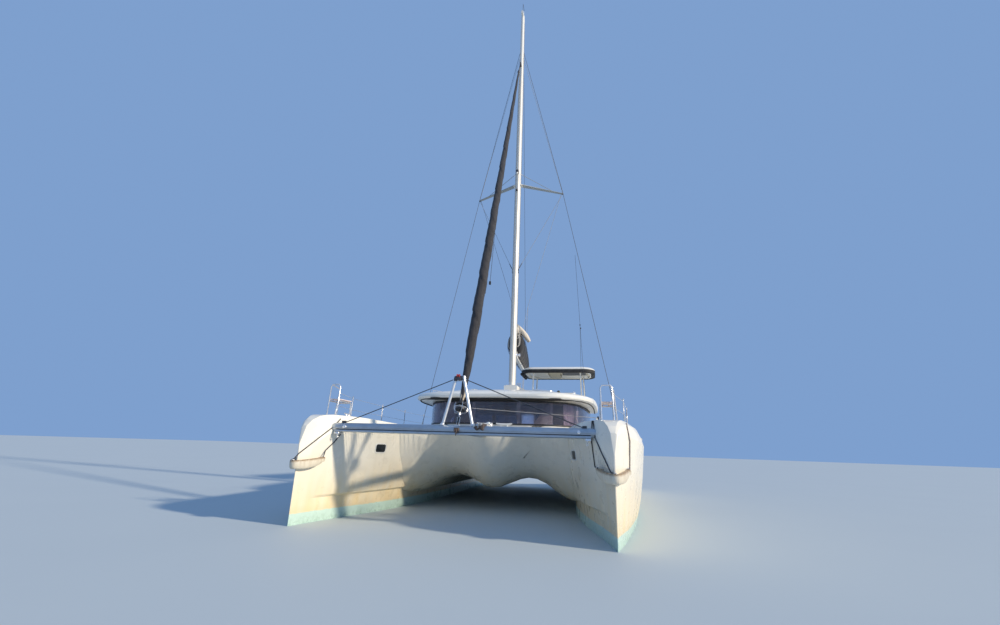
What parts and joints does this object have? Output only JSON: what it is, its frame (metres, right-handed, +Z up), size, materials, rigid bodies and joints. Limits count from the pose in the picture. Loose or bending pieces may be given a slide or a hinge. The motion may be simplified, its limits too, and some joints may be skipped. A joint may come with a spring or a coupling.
{
  "type": "sailing catamaran",
  "caption": "Cruising sailing catamaran afloat: twin hulls with bridgedeck saloon, cockpit and raised helm, mast with furled headsail, swinging boom with stowed mainsail in its bag.",
  "frame": {"origin": "on the waterline, on the centreline, midway between stems and sterns", "axes": "+Z up from the water, +X to port, the bows towards -Y"},
  "size_m": [7.7, 12.97, 21.9],
  "materials": {
    "hull": "gloss gelcoat, stained near the waterline",
    "deck": "gelcoat with moulded grip",
    "cabin": "gloss gelcoat",
    "bulkhead": "gloss gelcoat",
    "roof": "gloss gelcoat",
    "hardtop": "gloss gelcoat with a dark seal",
    "helm": "gelcoat",
    "bench": "gelcoat under cushions",
    "saloon_glass": "tinted",
    "aft_glass": "tinted",
    "door_glass": "tinted",
    "hatch_glass": "smoked acrylic",
    "lid": "gelcoat with moulded grip",
    "antifouling": "chalky paint",
    "rudder": "chalky paint",
    "drive": "satin",
    "propeller": "dull bronze",
    "engine": "satin",
    "spar": "pale painted",
    "boom": "pale painted",
    "beam": "anodised",
    "spine": "anodised",
    "bright_tube": "polished",
    "rail": "polished",
    "wire": "laid wire",
    "wheel": "polished",
    "seat_wood": "weathered",
    "table_wood": "varnished",
    "joinery": "satin",
    "upholstery": "woven",
    "fender": "vinyl over foam",
    "net": "knotted net",
    "curtain": "pleated",
    "rolled_sail": "sail rolled under a dark strip",
    "bag": "woven canvas",
    "sail": "flaked sailcloth"
  },
  "bodies": {
    "boat": {"a_frame": "bright_tube", "aft_bulkhead": "bulkhead", "aft_window_port": "aft_glass", "aft_window_starboard": "aft_glass", "bow_fender_port": "fender", "bow_fender_starboard": "fender", "bow_spine": "spine", "bridgedeck": "deck", "cap_shroud_lower_port": "wire", "cap_shroud_lower_starboard": "wire", "cap_shroud_upper_port": "wire", "cap_shroud_upper_starboard": "wire", "coachroof": "roof", "cockpit_bench": "bench", "cockpit_table": "table_wood", "crossbeam": "beam", "curtain_port": "curtain", "curtain_starboard": "curtain", "engine_port": "engine", "engine_starboard": "engine", "furled_genoa": "rolled_sail", "galley": "joinery", "helm_hardtop": "hardtop", "helm_station": "helm", "hull_port": "hull", "hull_starboard": "hull", "keel_port": "antifouling", "keel_starboard": "antifouling", "lifeline_port": "rail", "lifeline_starboard": "rail", "mast": "spar", "pulpit_port": "rail", "pulpit_seat_port": "seat_wood", "pulpit_seat_starboard": "seat_wood", "pulpit_starboard": "rail", "pushpit_port": "rail", "pushpit_starboard": "rail", "saildrive_port": "drive", "saildrive_starboard": "drive", "saloon_glass": "saloon_glass", "saloon_walls": "cabin", "settee": "upholstery", "trampoline_port": "net", "trampoline_starboard": "net"},
    "boom": {"boom": "boom", "sail_bag": "bag", "stowed_sail": "sail"},
    "rudder_port": {"rudder_port": "rudder"},
    "rudder_starboard": {"rudder_starboard": "rudder"},
    "propeller_port": {"propeller_port": "propeller"},
    "propeller_starboard": {"propeller_starboard": "propeller"},
    "helm_wheel": {"helm_wheel": "wheel"},
    "saloon_door": {"saloon_door": "door_glass"},
    "engine_hatch_port": {"engine_hatch_port": "lid"},
    "engine_hatch_starboard": {"engine_hatch_starboard": "lid"},
    "bow_hatch_port": {"bow_hatch_port": "hatch_glass"},
    "bow_hatch_starboard": {"bow_hatch_starboard": "hatch_glass"},
    "locker_lid_port": {"locker_lid_port": "lid"},
    "locker_lid_starboard": {"locker_lid_starboard": "lid"}
  },
  "joints": [
    {"name": "boom_swing", "type": "hinge", "parent": "boat", "child": "boom", "pos_m": [0, 0.3, 4.55], "axis": [0, 0, 1], "range_deg": [-59.5, 50.5]},
    {"name": "rudder_port_turn", "type": "hinge", "parent": "boat", "child": "rudder_port", "pos_m": [2.87, 5.45, -0.3], "axis": [0, 0, 1], "range_deg": [-30, 30]},
    {"name": "rudder_starboard_turn", "type": "hinge", "parent": "boat", "child": "rudder_starboard", "pos_m": [-2.87, 5.45, -0.3], "axis": [0, 0, 1], "range_deg": [-30, 30]},
    {"name": "helm_wheel_turn", "type": "hinge", "parent": "boat", "child": "helm_wheel", "pos_m": [1.35, 2.16, 2.95], "axis": [0, -1, 0], "range_deg": [-360, 360]},
    {"name": "propeller_port_spin", "type": "hinge", "parent": "boat", "child": "propeller_port", "pos_m": [2.87, 4.16, -0.88], "axis": [0, 1, 0], "continuous": true},
    {"name": "propeller_starboard_spin", "type": "hinge", "parent": "boat", "child": "propeller_starboard", "pos_m": [-2.87, 4.16, -0.88], "axis": [0, 1, 0], "continuous": true},
    {"name": "saloon_door_slide", "type": "slide", "parent": "boat", "child": "saloon_door", "axis": [-1, 0, 0], "range_m": [0, 0.88]},
    {"name": "engine_hatch_port_lift", "type": "hinge", "parent": "boat", "child": "engine_hatch_port", "pos_m": [2.87, 3.4, 1.8203], "axis": [1, 0, 0], "range_deg": [0, 75]},
    {"name": "bow_hatch_port_lift", "type": "hinge", "parent": "boat", "child": "bow_hatch_port", "pos_m": [2.78, -4.81, 1.9783], "axis": [1, 0, 0], "range_deg": [0, 70]},
    {"name": "locker_lid_port_lift", "type": "hinge", "parent": "boat", "child": "locker_lid_port", "pos_m": [0.9, -2.69, 1.9203], "axis": [-1, 0, 0], "range_deg": [0, 75]},
    {"name": "engine_hatch_starboard_lift", "type": "hinge", "parent": "boat", "child": "engine_hatch_starboard", "pos_m": [-2.87, 3.4, 1.8203], "axis": [1, 0, 0], "range_deg": [0, 75]},
    {"name": "bow_hatch_starboard_lift", "type": "hinge", "parent": "boat", "child": "bow_hatch_starboard", "pos_m": [-2.78, -4.81, 1.9783], "axis": [1, 0, 0], "range_deg": [0, 70]},
    {"name": "locker_lid_starboard_lift", "type": "hinge", "parent": "boat", "child": "locker_lid_starboard", "pos_m": [-0.9, -2.69, 1.9203], "axis": [-1, 0, 0], "range_deg": [0, 75]}
  ],
  "couplings": [
    {"joint": "rudder_starboard_turn", "follows": "rudder_port_turn", "ratio": 1},
    {"joint": "helm_wheel_turn", "follows": "rudder_port_turn", "ratio": 12}
  ]
}
